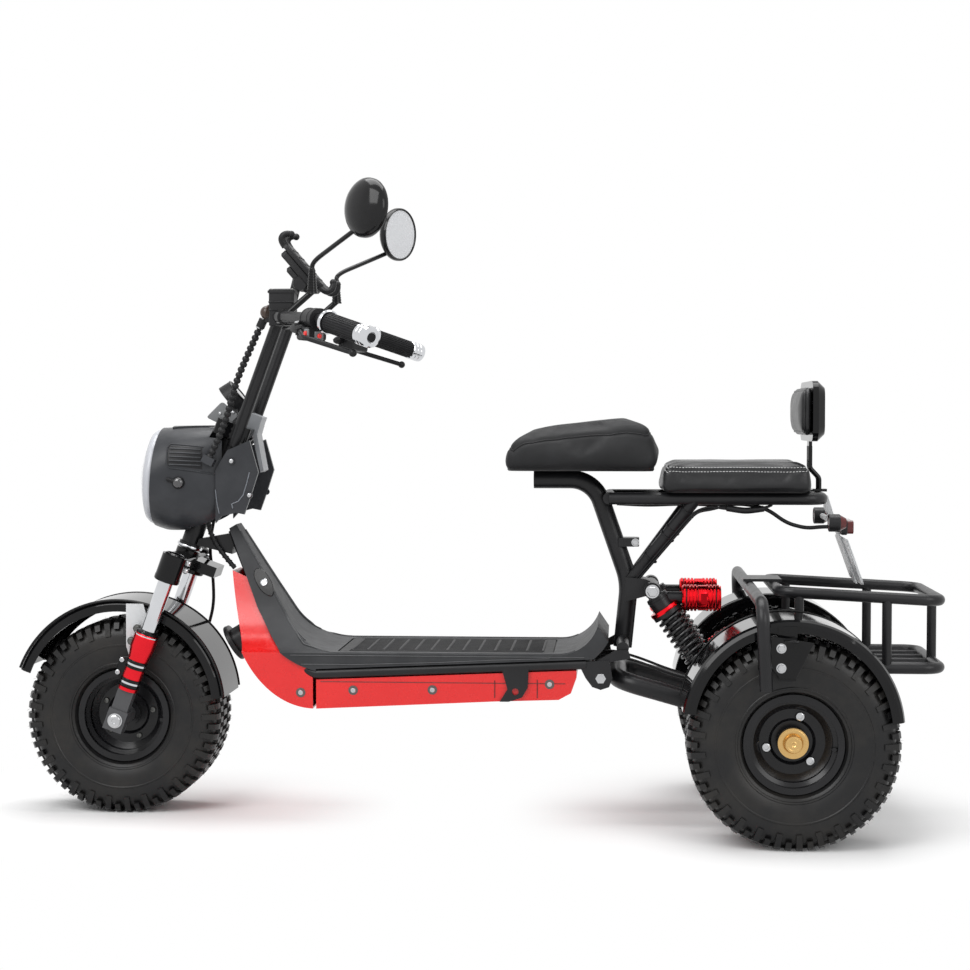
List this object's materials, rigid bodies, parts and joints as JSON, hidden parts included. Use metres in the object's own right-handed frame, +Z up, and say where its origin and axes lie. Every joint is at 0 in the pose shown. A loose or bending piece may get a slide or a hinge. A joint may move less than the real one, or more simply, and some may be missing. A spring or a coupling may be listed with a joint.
{
  "type": "electric tricycle",
  "caption": "Step-through electric tricycle with a raked front fork, low footboard, rider and passenger seats, twin rear wheels on a swing arm and a rear basket.",
  "frame": {"origin": "centre of the bounding box on the floor, between the wheels' contact points", "axes": "+X forward, towards the steered front wheel; +Y to the rider's left; +Z up from the floor"},
  "size_m": [1.6801, 0.8048, 1.1444],
  "materials": {
    "frame_black": "satin powder coat",
    "gloss_black": "gloss paint",
    "tray_grey": "matt moulded plastic",
    "panel_red": "gloss moulded plastic",
    "chrome": "polished chrome",
    "sleeve_red": "red anodised",
    "axle_grey": "cast, bead blasted",
    "tyre_black": "moulded tyre rubber",
    "rim_black": "gloss paint",
    "hub_bronze": "dulled bronze",
    "nacelle_slate": "textured moulded plastic",
    "cover_grey": "satin moulded plastic",
    "lens": "clear fluted lens",
    "grip_rubber": "ribbed rubber",
    "control_black": "textured moulded plastic",
    "seat_black": "stitched synthetic leather",
    "plate_silver": "satin silver paint",
    "lamp_red": "ribbed translucent lens",
    "spring_black": "gloss powder coat",
    "damper_black": "satin paint",
    "mirror_black": "satin moulded plastic",
    "battery_grey": "moulded case"
  },
  "bodies": {
    "frame": {"backrest_frame": "gloss_black", "backrest_pad": "seat_black", "battery_box": "battery_grey", "belly_pan": "panel_red", "deck_tray": "tray_grey", "frame_harness": "control_black", "front_shroud": "panel_red", "guard_bar": "frame_black", "horn": "damper_black", "main_frame": "frame_black", "number_plate": "plate_silver", "passenger_seat": "seat_black", "plate_bracket": "plate_silver", "rear_axle_housing": "damper_black", "rear_basket": "frame_black", "rear_brake_cable": "control_black", "rear_lamps": "lamp_red", "rear_motor_cable": "control_black", "rear_mudguard_left": "gloss_black", "rear_mudguard_right": "gloss_black", "rider_seat": "seat_black", "seat_frame": "frame_black", "shock_dampers": "damper_black", "shock_springs": "spring_black", "swing_arm": "frame_black", "tail_loom": "control_black"},
    "steering": {"bar_controls": "control_black", "bar_risers": "frame_black", "dash_display": "control_black", "fork_crown": "gloss_black", "fork_lowers": "axle_grey", "fork_sleeves": "sleeve_red", "fork_stanchions": "chrome", "front_mudguard": "gloss_black", "grips": "grip_rubber", "handlebar": "frame_black", "headlamp_lens": "lens", "headlamp_nacelle": "nacelle_slate", "mirrors": "mirror_black", "nacelle_cover": "cover_grey", "phone_holder": "control_black", "riser_clamp": "gloss_black", "front_brake_plate": "axle_grey", "front_mudguard_stays": "plate_silver", "nacelle_sides": "nacelle_slate", "riser_loom": "control_black", "front_brake_hose": "control_black"},
    "front_wheel": {"front_tyre": "tyre_black", "front_rim": "rim_black"},
    "rear_wheel_left": {"rear_tyre_left": "tyre_black", "rear_rim_left": "rim_black", "rear_hub_left": "hub_bronze"},
    "rear_wheel_right": {"rear_tyre_right": "tyre_black", "rear_rim_right": "rim_black", "rear_hub_right": "hub_bronze"}
  },
  "joints": [
    {"name": "steering_turn", "type": "hinge", "parent": "frame", "child": "steering", "pos_m": [0.642, 0, 0.18], "axis": [-0.342, 0, 0.9397], "range_deg": [-38, 38]},
    {"name": "front_wheel_spin", "type": "hinge", "parent": "steering", "child": "front_wheel", "pos_m": [0.642, 0, 0.18], "axis": [0, 1, 0], "continuous": true},
    {"name": "rear_wheel_left_spin", "type": "hinge", "parent": "frame", "child": "rear_wheel_left", "pos_m": [-0.568, 0.246, 0.18], "axis": [0, 1, 0], "continuous": true},
    {"name": "rear_wheel_right_spin", "type": "hinge", "parent": "frame", "child": "rear_wheel_right", "pos_m": [-0.568, -0.246, 0.18], "axis": [0, 1, 0], "continuous": true}
  ]
}
